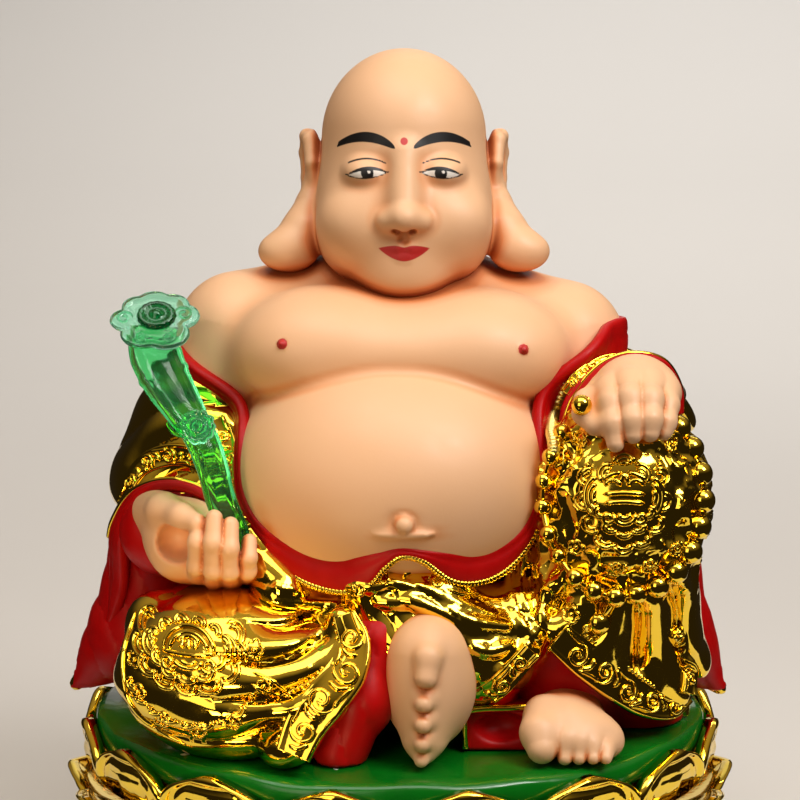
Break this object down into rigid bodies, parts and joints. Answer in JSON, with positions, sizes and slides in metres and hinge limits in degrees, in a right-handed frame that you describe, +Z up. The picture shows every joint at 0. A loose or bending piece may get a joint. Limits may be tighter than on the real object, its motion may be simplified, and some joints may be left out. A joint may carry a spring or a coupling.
{
  "type": "budai figure",
  "caption": "Seated Budai figure with a bare belly, gilded robe, ruyi sceptre and prayer beads, on an oval lotus throne.",
  "frame": {"origin": "the middle of the underside of the throne, on the surface that it stands on", "axes": "+Z up through the crown, the figure faces -Y, and +X is to the figure's left hand"},
  "size_m": [0.2752, 0.259, 0.3399],
  "materials": {
    "gold_plating": "mirror gold plating on moulded plastic",
    "skin_paint": "satin peach paint",
    "red_paint": "gloss red paint",
    "green_paint": "gloss dark green paint",
    "clear_green": "clear moulded green plastic"
  },
  "bodies": {
    "root": {"figure": "gold_plating", "ruyi": "clear_green", "lotus_throne": "gold_plating"}
  },
  "joints": []
}
